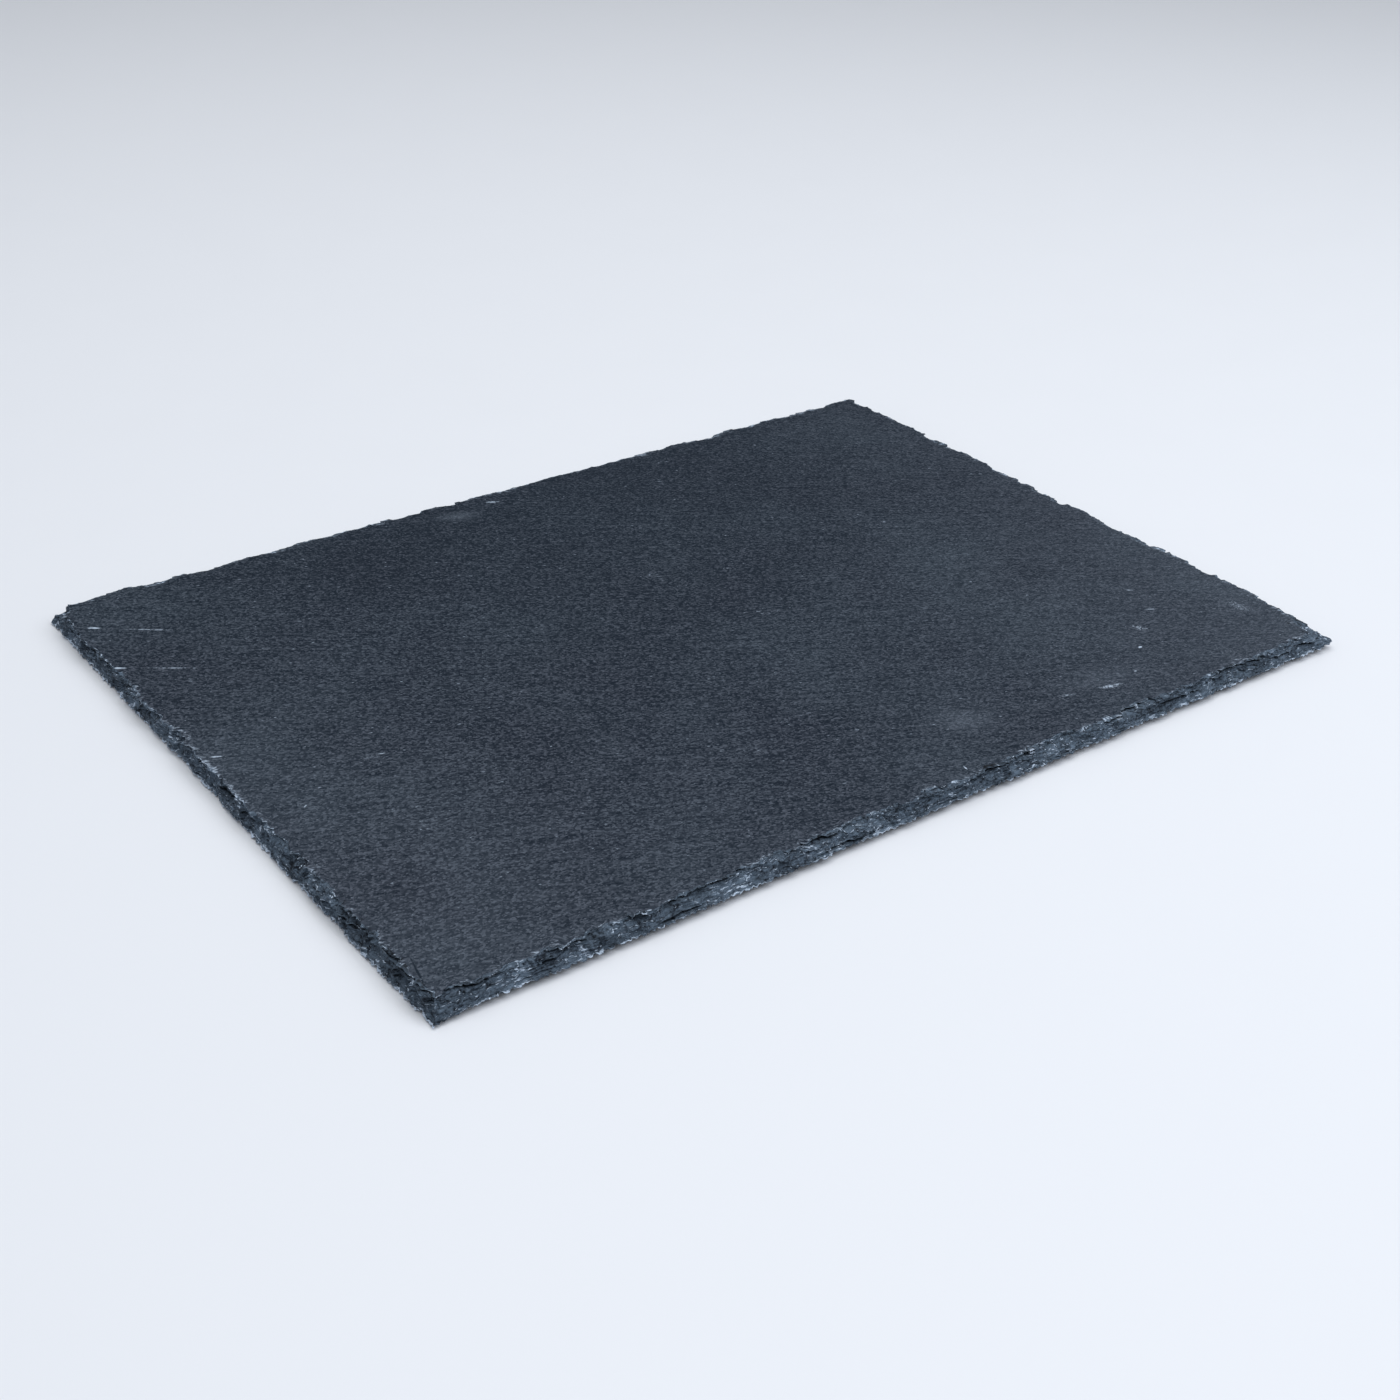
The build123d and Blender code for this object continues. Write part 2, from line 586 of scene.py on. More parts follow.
class Side(Enum):
    """A side of the board, in the order in which its outline is walked."""

    RIGHT = 0
    BACK = 1
    LEFT = 2
    FRONT = 3

    @property
    def hollowness(self) -> float:
        """How deeply the blows hollowed this side below its shoulder, as a share."""
        return (0.5, 0.4, 1.0, 0.35)[self.value]

    @property
    def raggedness(self) -> float:
        """How ragged the small chips left this side, as a share."""
        return (0.7, 0.45, 1.0, 1.0)[self.value]

    @property
    def crushing(self) -> float:
        """How much the blows crushed this side's lips, as a share."""
        return (0.9, 0.9, 1.35, 0.88)[self.value]

    @property
    def outwards(self) -> np.ndarray:
        """The direction that the side faces."""
        facing = self.value * math.pi / 2
        return np.array([math.cos(facing), math.sin(facing)])


class Face(Enum):
    """One of the board's two flat faces, by the share of the thickness where it lies."""

    UNDERSIDE = 0.0
    WORKING = 1.0


@dataclass(frozen=True)
class Row:
    """A row of points round the broken edge.

    It has its leaf, its height as a share of the thickness, the leaf over the cleft that it
    is nearest to, whether it lies at the back of that cleft, and how far the cleft lifts it.
    """

    leaf: int
    height: float
    roof_leaf: int
    cleft: float
    lift: float

    @property
    def lip(self) -> float:
        """How much the row is a lip that blows crush: 1 at the shoulder and at the bottom."""
        shoulder = (self.height - 0.88) / 0.16
        fringe = 1.9 - self.height / 0.08
        return max(shoulder, fringe, 0.35 * abs(self.lift), 0.0)


@dataclass(frozen=True)
class Cleft:
    """An open parting between two leaves: its side, the leaf over it, and its stretch in mm."""

    side: Side
    leaf: int
    start: float
    end: float


@dataclass(frozen=True)
class CornerChip:
    """A corner that lost its upper leaves.

    It has the sides that meet there as signs, its reach along each in mm, how deep it is in mm,
    and the share of the thickness above which the stone is gone.
    """

    x_side: int
    y_side: int
    reach_x: float
    reach_y: float
    depth: float
    above: float


@dataclass
class PointTable:
    """The points of a stone under construction, with what the geometry tree reads of each."""

    VECTORS = ("rim", "outward", "flow")
    NUMBERS = ("height", "leaf", "roof_leaf", "cleft", "lift", "opened", "hollowness")
    NUMBERS += ("raggedness", "lip", "shoulder", "relief", "broken")

    places: list[np.ndarray] = field(default_factory=list)
    values: dict[str, list[np.ndarray]] = field(default_factory=dict)
    count: int = 0

    def add(self, places: np.ndarray, **values: Any) -> np.ndarray:
        """Adds points.

        Args:
            places: The points, one row each, in metres.
            **values: Attribute name to one value for all the points, or one for each. A number
                that isn't given is nought.

        Returns:
            The new points' numbers.
        """
        total = len(places)
        self.places.append(places)
        for name in (*self.VECTORS, *self.NUMBERS):
            width = (3,) if name in self.VECTORS else ()
            whole = np.broadcast_to(np.asarray(values.get(name, 0.0), float), (total, *width))
            self.values.setdefault(name, []).append(whole)
        numbers = np.arange(self.count, self.count + total)
        self.count += total
        return numbers

    def to_mesh(self, name: str, faces: list[Sequence[int]]) -> bpy.types.Mesh:
        """Makes the mesh and stores the points' values on it as attributes."""
        mesh = bpy.data.meshes.new(name)
        mesh.from_pydata(np.vstack(self.places).tolist(), [], faces)
        for attribute_name, parts in self.values.items():
            stored = np.concatenate(parts)
            kind, key = ("FLOAT_VECTOR", "vector") if stored.ndim == 2 else ("FLOAT", "value")
            attribute = mesh.attributes.new(attribute_name, kind, "POINT")
            attribute.data.foreach_set(key, stored.astype(np.float32).ravel())
        return mesh


# What the blows and the splitting do to the stone, in millimetres.
DAMAGE = {
    "Bite Width": 30.0,
    "Bite Depth": 1.8,
    "Scar Width": 8.0,
    "Scar Depth": 1.9,
    "Scoop Width": 7.5,
    "Scoop Depth": 2.6,
    "Chip Width": 3.0,
    "Chip Depth": 0.9,
    "Leaf Step": 2.2,
    "Leaf Drift": 3.2,
    "Cleft Depth": 2.0,
    "Cleft Height": 1.05,
    "Roughness": 0.8,
    "Nick Width": 2.0,
    "Nick Depth": 0.8,
    "Shoulder Spall": 0.8,
    "Rive Height": 0.16,
}


def grain_flow(places: np.ndarray) -> np.ndarray:
    """Where points lie along and across the stone's lineation.

    The streaks run down from the back left to the front right, and turn steeper towards the
    back right corner.

    Args:
        places: Points in the row frame, one row each, in metres.

    Returns:
        For each point, metres along the streaks, metres across them, and the height.
    """
    x, y = places[:, 0], places[:, 1]
    slant = math.radians(30.0)
    turn_along, turn_across = 0.44, 1.01
    along = x * math.cos(slant) - y * math.sin(slant)
    across = y + math.tan(slant) * x + turn_along * x * x + turn_across * x * y
    return np.column_stack([along, across * math.cos(slant), places[:, 2]])


@dataclass
class SlateSlab:
    """The stone: one riven leaf of slate with hand-broken edges.

    Its box comes from the CAD stone. Sizes are in millimetres, or shares where so named. The
    insets are those of the blank, before the blows take more from it.
    """

    low: Vector
    high: Vector
    feet: Sequence[Vector]
    seed: int = 4
    end_inset: float = 1.5
    side_inset: float = 3.5
    end_splay: float = 0.5
    left_sag: float = 1.6
    foot_free: float = 20.0
    corner_radius: float = 1.6
    column_spacing: float = 0.52
    leaf_heads: tuple[float, ...] = (0.22, 0.53, 0.84, 1.0)
    leaf_rows: tuple[int, ...] = (4, 5, 5, 4)
    cleft_roof: float = 0.6
    cleft_floor: float = -0.4
    face_pitch: float = 3.2
    under_pitch: float = 6.0
    face_raggedness: float = 0.7

    # Rings of points just inside each face's edge: how far in, and every how many columns.
    face_rings: tuple[tuple[float, int], ...] = ((0.7, 1), (1.7, 2), (3.2, 3), (5.6, 5))
    under_rings: tuple[tuple[float, int], ...] = ((1.2, 2), (3.5, 5))
    shoulder_reach: float = 11.0
    foot_clearance: float = 9.0

    # The sizes of the patterns of the break and of the riven face. The scars see the whole
    # thickness as scar_rise high, and nothing rises past head_room over the underside.
    scar_rise: float = 20.0
    grit_width: float = 1.5
    step_length: float = 26.0
    swell_length: float = 38.0
    cleft_spacing: float = 24.0
    spall_width: float = 7.0
    wave_length: float = 70.0
    overhang: float = 0.7
    head_room: float = 5.6

    clefts: tuple[Cleft, ...] = (
        Cleft(Side.FRONT, 3, -205.0, -174.0),
        Cleft(Side.FRONT, 3, -161.0, -145.0),
        Cleft(Side.FRONT, 3, -118.0, -84.0),
        Cleft(Side.FRONT, 3, -70.0, -43.0),
        Cleft(Side.FRONT, 3, 12.0, 27.0),
        Cleft(Side.FRONT, 3, 30.0, 45.0),
        Cleft(Side.FRONT, 2, -168.0, -156.0),
        Cleft(Side.FRONT, 1, -122.0, -104.0),
        Cleft(Side.FRONT, 1, -60.0, -30.0),
        Cleft(Side.FRONT, 3, 72.0, 96.0),
        Cleft(Side.FRONT, 2, 100.0, 124.0),
        Cleft(Side.FRONT, 3, 134.0, 166.0),
        Cleft(Side.FRONT, 2, 164.0, 198.0),
        Cleft(Side.LEFT, 3, -148.0, -116.0),
        Cleft(Side.LEFT, 2, -104.0, -84.0),
        Cleft(Side.LEFT, 2, -30.0, 12.0),
    )
    chips: tuple[CornerChip, ...] = (
        CornerChip(1, -1, 10.0, 30.0, 3.2, 0.70),
        CornerChip(1, -1, 5.0, 10.0, 2.4, 0.25),
        CornerChip(-1, 1, 5.0, 7.0, 4.0, 0.45),
    )

    def build(self, material: bpy.types.Material) -> bpy.types.Object:
        """Makes the finished stone.

        Args:
            material: The slate.

        Returns:
            The stone, closed, with the attributes that its material reads.
        """
        piece = link_new("riven_slate_slab", self._blank())
        sizes = {name: size * MM for name, size in DAMAGE.items()}
        sizes["Seed"] = float(self.seed)
        run_geometry_tree(piece, self._breaking_tree(material, sizes), sizes)
        return piece

    @property
    def half(self) -> tuple[float, float]:
        """Half the length and half the width, in metres."""
        return (self.high.x - self.low.x) / 2, (self.high.y - self.low.y) / 2

    def _outline(self) -> tuple[np.ndarray, np.ndarray]:
        """Walks once round the underside: its points and their outward directions."""
        radius = self.corner_radius * MM
        arc_steps = max(3, round(math.pi / 2 * self.corner_radius / self.column_spacing))
        places, directions = [], []
        for side in Side:
            outwards = side.outwards
            onwards = np.array([-outwards[1], outwards[0]])
            stand_off, reach = self.half if side.value % 2 == 0 else self.half[::-1]
            straight = reach - radius
            columns = round(2 * straight / (self.column_spacing * MM))
            steps = np.linspace(-straight, straight, columns, endpoint=False)
            places.append(outwards * stand_off + np.outer(steps, onwards))
            directions.append(np.tile(outwards, (columns, 1)))
            turns = np.linspace(0, math.pi / 2, arc_steps, endpoint=False)
            around = np.outer(np.cos(turns), outwards) + np.outer(np.sin(turns), onwards)
            centre = outwards * (stand_off - radius) + onwards * straight
            places.append(centre + radius * around)
            directions.append(around)
        return np.vstack(places), np.vstack(directions)

    def _rows(self) -> Iterator[Row]:
        """The rows of points up the broken edge, leaf by leaf, with the clefts between them."""
        foot = 0.0
        for leaf, (head, count) in enumerate(zip(self.leaf_heads, self.leaf_rows)):
            if leaf:
                yield Row(leaf, foot, leaf, 1.0, self.cleft_floor)
                yield Row(leaf, foot, leaf, 1.0, self.cleft_roof)
            for step in range(count):
                climb = step / (count - 1)
                height = foot + (head - foot) * climb
                lift = self.cleft_roof * (1 - 2 * climb) ** 2 * bool(leaf)
                press = self.cleft_floor * (2 * climb - 1) ** 2 * (head < 1)
                lower_half = climb < 0.5
                yield Row(leaf, height, leaf + (not lower_half), 0.0, lift if lower_half else press)
            foot = head

    @staticmethod
    def _by_side(directions: np.ndarray, share: str) -> np.ndarray:
        """One of the sides' shares for each outward direction, blended round the corners."""
        facing = {side: np.clip(directions @ side.outwards, 0, 1) ** 2 for side in Side}
        return sum(getattr(side, share) * weight for side, weight in facing.items())

    def _opened(self, rim: np.ndarray, directions: np.ndarray, leaf: int) -> np.ndarray:
        """How far each column's cleft under a leaf is open, from the listed clefts."""
        opened = np.zeros(len(rim))
        for cleft in self.clefts:
            if cleft.leaf != leaf:
                continue
            facing = directions @ cleft.side.outwards > 0.7
            along = rim[:, 0 if cleft.side in (Side.FRONT, Side.BACK) else 1] / MM
            middle, reach = (cleft.start + cleft.end) / 2, (cleft.end - cleft.start) / 2
            taper = np.sqrt(np.clip(1 - ((along - middle) / reach) ** 2, 0, 1))
            opened = np.maximum(opened, taper * facing)
        return opened

    def _chip_depth(self, rim: np.ndarray, height: float) -> np.ndarray:
        """How much further in the chipped corners push a row, in metres."""
        total = np.zeros(len(rim))
        for chip in self.chips:
            away_x = np.abs(rim[:, 0] - chip.x_side * self.half[0]) / (chip.reach_x * MM)
            away_y = np.abs(rim[:, 1] - chip.y_side * self.half[1]) / (chip.reach_y * MM)
            near = np.clip(1 - np.hypot(away_x, away_y), 0, 1)
            gone = np.clip((height - chip.above) / 0.05, 0, 1)
            total += chip.depth * MM * np.sqrt(near) * gone
        return total

    def _inset(self, rim: np.ndarray, height: float, extra: float) -> np.ndarray:
        """Moves the outline inwards, for a height as a share of the thickness.

        Args:
            rim: Points of the outline, in metres.
            height: The share of the thickness.
            extra: How much further inwards the points go, in millimetres.

        Returns:
            The moved points.
        """
        chip = self._chip_depth(rim, height) + extra * MM
        splay = 1 - self.end_splay * rim[:, 1] / self.half[1]
        step_x = height * self.end_inset * splay * MM + chip
        step_y = height * self.side_inset * MM + chip
        return rim * np.column_stack([1 - step_x / self.half[0], 1 - step_y / self.half[1]])

    def _blank(self) -> bpy.types.Mesh:
        """The stone before it is broken: leaves all round between two flat faces, closed."""
        rim, directions = self._outline()
        flat_rim = np.column_stack([rim, np.zeros(len(rim))])
        outward = np.column_stack([directions, np.zeros(len(rim))])
        thickness = self.high.z - self.low.z
        table = PointTable()
        faces: list[Sequence[int]] = []
        loops = []
        for row in self._rows():
            plan = self._inset(rim, row.height, 0.0)
            level = self.low.z + row.height * thickness
            heights = level - self._sag(plan) * (1 - row.height) ** 2
            places = np.column_stack([plan, heights])
            numbers = table.add(
                places,
                rim=flat_rim,
                outward=outward,
                flow=grain_flow(places),
                height=row.height,
                leaf=float(row.leaf),
                cleft=row.cleft,
                lift=row.lift,
                roof_leaf=float(row.roof_leaf),
                opened=self._opened(rim, directions, row.roof_leaf),
                hollowness=self._by_side(directions, "hollowness"),
                raggedness=self._by_side(directions, "raggedness"),
                lip=row.lip * self._by_side(directions, "crushing"),
                shoulder=float(row.height == Face.WORKING.value),
                relief=float(row.height == 1) - float(row.height == 0),
                broken=1.0,
            )
            if loops:
                faces += self._band(loops[-1], numbers)
            loops.append(numbers)
        faces += self._face(table, loops[-1], flat_rim, outward, Face.WORKING)
        faces += self._face(table, loops[0], flat_rim, outward, Face.UNDERSIDE)
        return table.to_mesh("riven_slate_slab", faces)

    @staticmethod
    def _band(below: np.ndarray, above: np.ndarray) -> list[Sequence[int]]:
        """Quads between two rows of points, facing out."""
        onwards, onwards_above = np.roll(below, -1), np.roll(above, -1)
        return np.column_stack([below, onwards, onwards_above, above]).tolist()

    def _face(
        self,
        table: PointTable,
        loop: np.ndarray,
        flat_rim: np.ndarray,
        outward: np.ndarray,
        face: Face,
    ) -> list[Sequence[int]]:
        """Fills a flat face with triangles that grow finer towards its edge.

        Args:
            table: Gets the face's new points.
            loop: The numbers of the points round the face.
            flat_rim: The outline's points.
            outward: The outline's outward directions.
            face: The face to fill.

        Returns:
            The triangles, facing out.
        """
        working = face is Face.WORKING
        height = self.high.z if working else self.low.z
        rings = self.face_rings if working else self.under_rings
        numbers = [loop]
        places = [np.vstack(table.places)[loop]]
        same = {
            "height": face.value,
            "leaf": float(len(self.leaf_heads) - 1) * working,
            "raggedness": self.face_raggedness,
        }
        for depth, stride in rings:
            some = np.arange(0, len(flat_rim), stride)
            plan = self._inset(flat_rim[some, :2], face.value, depth)
            ring = np.column_stack([plan, height - self._sag(plan) * (1 - face.value)])
            numbers.append(
                table.add(
                    ring,
                    rim=flat_rim[some],
                    outward=outward[some] * (1 - depth / self.shoulder_reach) ** 2,
                    flow=grain_flow(ring),
                    shoulder=max(0.0, 1 - depth / 4) * working,
                    relief=1.0 if working else -1.0,
                    **same,
                )
            )
            places.append(ring)
        inside = self._field(face, rings[-1][0])
        away = np.full(len(inside), np.inf)
        for foot in self.feet:
            away = np.minimum(away, np.hypot(*(inside[:, :2] - np.array(foot.xy)).T))
        clear = np.clip(away / (self.foot_clearance * MM) - 0.8, 0, 1)
        numbers.append(
            table.add(
                inside,
                rim=inside * (1, 1, 0),
                flow=grain_flow(inside),
                relief=1.0 if working else -clear,
                **same,
            )
        )
        places.append(inside)
        return self._triangles(np.concatenate(numbers), np.vstack(places), len(loop), working)

    def _field(self, face: Face, margin: float) -> np.ndarray:
        """Slightly scattered points over the inside of a face, in metres."""
        spread = np.random.default_rng(self.seed + int(face.value))
        pitch = self.face_pitch if face is Face.WORKING else self.under_pitch
        reach = np.array(self.half) - (margin + pitch / 2 + face.value * self.side_inset) * MM
        counts = np.maximum(2, np.round(2 * reach / (pitch * MM)).astype(int))
        steps = [np.linspace(-far, far, count) for far, count in zip(reach, counts)]
        plan = np.stack(np.meshgrid(*steps), axis=-1).reshape(-1, 2)
        plan += spread.uniform(-0.3, 0.3, plan.shape) * pitch * MM
        height = self.high.z if face is Face.WORKING else self.low.z
        return np.column_stack([plan, height - self._sag(plan) * (1 - face.value)])

    def _sag(self, plan: np.ndarray) -> np.ndarray:
        """How far the underside hangs lower along the left end, outside the feet, in metres."""
        reach = (-plan[:, 0] - self.half[0]) / MM + self.foot_free
        return self.left_sag * MM * np.clip(reach / self.foot_free, 0, 1) ** 2

    @staticmethod
    def _triangles(
        numbers: np.ndarray, places: np.ndarray, loop_length: int, facing_up: bool
    ) -> list[Sequence[int]]:
        """Joins a face's points into triangles inside its loop.

        Args:
            numbers: The points' numbers in the table.
            places: The points, the loop's first.
            loop_length: How many of them are the loop.
            facing_up: True if the triangles face up.

        Returns:
            The triangles.
        """
        plan = [Vector(point) for point in (places[:, :2] / MM).tolist()]
        loop = [(i, (i + 1) % loop_length) for i in range(loop_length)]
        _, _, triangles, origins, _, _ = delaunay_2d_cdt(plan, loop, [], 1, 1e-5)
        made = []
        for triangle in triangles:
            a, b, c = (origins[corner][0] for corner in triangle)
            up = (plan[b] - plan[a]).cross(plan[c] - plan[a]) > 0
            order = (a, b, c) if up == facing_up else (a, c, b)
            made.append([int(numbers[corner]) for corner in order])
        return made

    def _breaking_tree(
        self, material: bpy.types.Material, sizes: Mapping[str, float]
    ) -> bpy.types.NodeTree:
        """The geometry tree that breaks the blank's edge and rives its faces.

        Args:
            material: The slate.
            sizes: The tree's named inputs, with the size of each kind of damage in metres.

        Returns:
            The tree.
        """
        tree, given = new_geometry_tree("hand_broken_edge", sizes)
        size = given.outputs
        stored = self._stored(tree)
        height, leaf = stored["height"], stored["leaf"]

        # The scars' own space: the outline in plan, and the height drawn out so that each scar
        # is a few times as long as it is high.
        rise = self.scar_rise * MM
        level = add_node(tree, MATHS, {0: height, 1: rise}, operation="MULTIPLY")
        seeded = add_node(tree, MATHS, {0: size["Seed"], 1: 0.31}, operation="MULTIPLY")
        drawn_up = add_node(tree, JOIN, {"X": seeded, "Z": level})
        rim = add_node(tree, VECTORS, {0: stored["rim"], 1: drawn_up}, operation="ADD")

        opening = self._opening(tree, self._set_apart(tree, rim, stored["roof_leaf"]), stored)
        nicks = self._nicks(tree, size, stored)
        inwards = self._worn_back(tree, size, stored, rim)
        cleft = add_node(tree, MATHS, {0: opening, 1: size["Cleft Depth"]}, operation="MULTIPLY")
        deeper = {0: cleft, 1: stored["cleft"], 2: inwards}
        inwards = add_node(tree, MATHS, deeper, operation="MULTIPLY_ADD")
        inwards = add_node(tree, MATHS, {0: inwards, 1: nicks}, operation="ADD")
        outwards = add_node(tree, MATHS, {0: inwards, 1: -1.0}, operation="MULTIPLY")
        pushed = {0: stored["outward"], "Scale": outwards}
        sideways = add_node(tree, VECTORS, pushed, operation="SCALE")

        upwards = self._upwards(tree, size, stored, opening)
        upwards = add_node(tree, MATHS, {0: upwards, 1: nicks}, operation="ADD")
        lifted = add_node(tree, JOIN, {"Z": upwards})
        offset = add_node(tree, VECTORS, {0: sideways, 1: lifted}, operation="ADD")
        shift = {"Geometry": size["Geometry"], "Offset": offset}
        made = add_node(tree, "GeometryNodeSetPosition", shift)
        # How far each point at the back of a cleft is open; the slate paints shade there.
        hollow = add_node(tree, MATHS, {0: opening, 1: stored["cleft"]}, operation="MULTIPLY")
        for name, value in (("scar", rim), ("hollow", hollow)):
            kept = {"Geometry": made, "Name": name, "Value": value}
            kind = "FLOAT_VECTOR" if name == "scar" else "FLOAT"
            made = add_node(tree, "GeometryNodeStoreNamedAttribute", kept, data_type=kind)
        face = {"A": stored["broken"], "B": 0.6}
        smooth = add_node(tree, "FunctionNodeCompare", face, operation="LESS_THAN")
        shading = {"Geometry": made, "Shade Smooth": smooth}
        end_geometry_tree(tree, add_node(tree, "GeometryNodeSetShadeSmooth", shading), material)
        return tree

    def _worn_back(self, tree: Any, size: Any, stored: Any, rim: Any) -> Any:
        """How far the blows drive the broken edge inwards, before its clefts and its nicks."""
        height, leaf = stored["height"], stored["leaf"]
        bites = self._scars(tree, size, "Bite", rim, 0.0, 0.25)
        scars = self._scars(tree, size, "Scar", rim, 1.3, 1.0)
        chips = self._scars(tree, size, "Chip", rim, 1.2, 1.3)
        place = add_node(tree, "GeometryNodeInputPosition")
        rough = {"Vector": place, "Scale": per(self.grit_width), "Detail": 4.0}
        grit = add_node(tree, NOISE, rough)
        grit = add_node(tree, MATHS, {0: grit, 1: size["Roughness"]}, operation="MULTIPLY")
        broad = add_node(tree, MATHS, {0: bites, 1: scars}, operation="ADD")
        fine = add_node(tree, MATHS, {0: chips, 1: grit}, operation="ADD")
        fine = add_node(tree, MATHS, {0: fine, 1: stored["raggedness"]}, operation="MULTIPLY")
        both = add_node(tree, MATHS, {0: broad, 1: fine}, operation="ADD")
        high_up = add_node(tree, MATHS, {0: height, 1: 0.7, 2: 0.3}, operation="MULTIPLY_ADD")
        inwards = add_node(tree, MATHS, {0: both, 1: high_up}, operation="MULTIPLY")
        inwards = self._scooped(tree, size, stored, rim, inwards)

        apart = self._set_apart(tree, rim, leaf)
        long = {"Vector": apart, "Scale": per(self.step_length), "Detail": 2.0}
        step = add_node(tree, NOISE, long)
        step = add_node(tree, MATHS, {0: step, 1: 0.5}, operation="SUBTRACT")
        step = add_node(tree, MATHS, {0: step, 1: size["Leaf Step"]}, operation="MULTIPLY")
        above_lowest = add_node(tree, MATHS, {0: leaf, 1: 1.0}, operation="MINIMUM")
        stepped = {0: step, 1: above_lowest, 2: inwards}
        inwards = add_node(tree, MATHS, stepped, operation="MULTIPLY_ADD")
        out_most = {0: height, 1: -self.overhang * MM}
        out_most = add_node(tree, MATHS, out_most, operation="MULTIPLY")
        return add_node(tree, MATHS, {0: inwards, 1: out_most}, operation="MAXIMUM")

    @staticmethod
    def _stored(tree: bpy.types.NodeTree) -> dict[str, bpy.types.Node]:
        """The nodes that read the blank's attributes, by the attribute's name."""
        return {
            name: add_node(
                tree,
                "GeometryNodeInputNamedAttribute",
                {"Name": name},
                data_type="FLOAT_VECTOR" if name in PointTable.VECTORS else "FLOAT",
            )
            for name in (*PointTable.VECTORS, *PointTable.NUMBERS)
        }

    @staticmethod
    def _set_apart(tree: Any, places: Any, leaf: Any) -> Any:
        """The same places, set so far apart by leaf that no two leaves share a pattern."""
        distance = add_node(tree, MATHS, {0: leaf, 1: 0.53}, operation="MULTIPLY")
        away = add_node(tree, JOIN, {"X": distance})
        return add_node(tree, VECTORS, {0: places, 1: away}, operation="ADD")

    @staticmethod
    def _scars(tree: Any, size: Any, kind: str, places: Any, jump: float, stretch: float) -> Any:
        """Shell-shaped scars: hollow in their middle, with steps from one to the next.

        Args:
            tree: The geometry tree.
            size: The tree's named inputs.
            kind: The first word of the names of the two that hold the width and the depth.
            places: Where each point lies on the outline, in metres.
            jump: How much one scar may lie deeper than the next.
            stretch: How much the heights count.

        Returns:
            The node with the depth in metres.
        """
        units = add_node(tree, MATHS, {0: 1.0, 1: size[f"{kind} Width"]}, operation="DIVIDE")
        drawn = add_node(tree, VECTORS, {0: places, 1: (1.0, 1.0, stretch)}, operation="MULTIPLY")
        cells = add_node(tree, VORONOI, {"Vector": drawn, "Scale": units})
        away = cells.outputs["Distance"]
        hollow = add_node(tree, MATHS, {0: 0.75, 1: away}, operation="SUBTRACT")
        chance = add_node(tree, SPLIT, {"Vector": cells.outputs["Color"]})
        deeper = add_node(tree, MATHS, {0: chance, 1: 0.5}, operation="SUBTRACT")
        share = {0: deeper, 1: jump, 2: hollow}
        share = add_node(tree, MATHS, share, operation="MULTIPLY_ADD")
        return add_node(tree, MATHS, {0: share, 1: size[f"{kind} Depth"]}, operation="MULTIPLY")

    def _scooped(self, tree: Any, size: Any, stored: Any, rim: Any, inwards: Any) -> Any:
        """Adds the scoops: hollows that are deepest at mid-height, under the shoulder."""
        below = add_node(tree, MATHS, {0: 1.0, 1: stored["height"]}, operation="SUBTRACT")
        arch = add_node(tree, MATHS, {0: stored["height"], 1: below}, operation="MULTIPLY")
        # An arch is a quarter at its highest, so four of them make a whole.
        arch = add_node(tree, MATHS, {0: arch, 1: 4.0}, operation="MULTIPLY")
        share = add_node(tree, MATHS, {0: arch, 1: stored["hollowness"]}, operation="MULTIPLY")
        elsewhere = self._set_apart(tree, rim, 7.0)
        scoops = self._scars(tree, size, "Scoop", elsewhere, 1.0, 0.35)
        return add_node(tree, MATHS, {0: scoops, 1: share, 2: inwards}, operation="MULTIPLY_ADD")

    @staticmethod
    def _nicks(tree: Any, size: Any, stored: Any) -> Any:
        """How deep the bottom lip is nicked, where crumbs have dropped off it, in metres."""
        units = add_node(tree, MATHS, {0: 1.0, 1: size["Nick Width"]}, operation="DIVIDE")
        chance = add_node(tree, NOISE, {"Vector": stored["rim"], "Scale": units, "Detail": 2.0})
        nick = add_node(tree, RANGE, {"Value": chance, "From Min": 0.44, "From Max": 0.64})
        fading = {"Value": stored["height"], "From Max": 0.14, "To Min": 1.0, "To Max": 0.0}
        low = add_node(tree, RANGE, fading)
        nick = add_node(tree, MATHS, {0: nick, 1: low}, operation="MULTIPLY")
        nick = add_node(tree, MATHS, {0: nick, 1: stored["broken"]}, operation="MULTIPLY")
        return add_node(tree, MATHS, {0: nick, 1: size["Nick Depth"]}, operation="MULTIPLY")

    def _opening(self, tree: Any, places: Any, stored: Any) -> Any:
        """How far the clefts are open: the listed ones, and others here and there."""
        flat = add_node(tree, VECTORS, {0: places, 1: (1.0, 1.0, 0.0)}, operation="MULTIPLY")
        spaced = {"Vector": flat, "Scale": per(self.cleft_spacing), "Detail": 2.0}
        chance = add_node(tree, NOISE, spaced)
        limits = {"From Min": 0.55, "From Max": 0.68, "To Min": 0.03, "To Max": 0.4}
        others = add_node(tree, RANGE, {"Value": chance, **limits})
        return add_node(tree, MATHS, {0: others, 1: stored["opened"]}, operation="MAXIMUM")

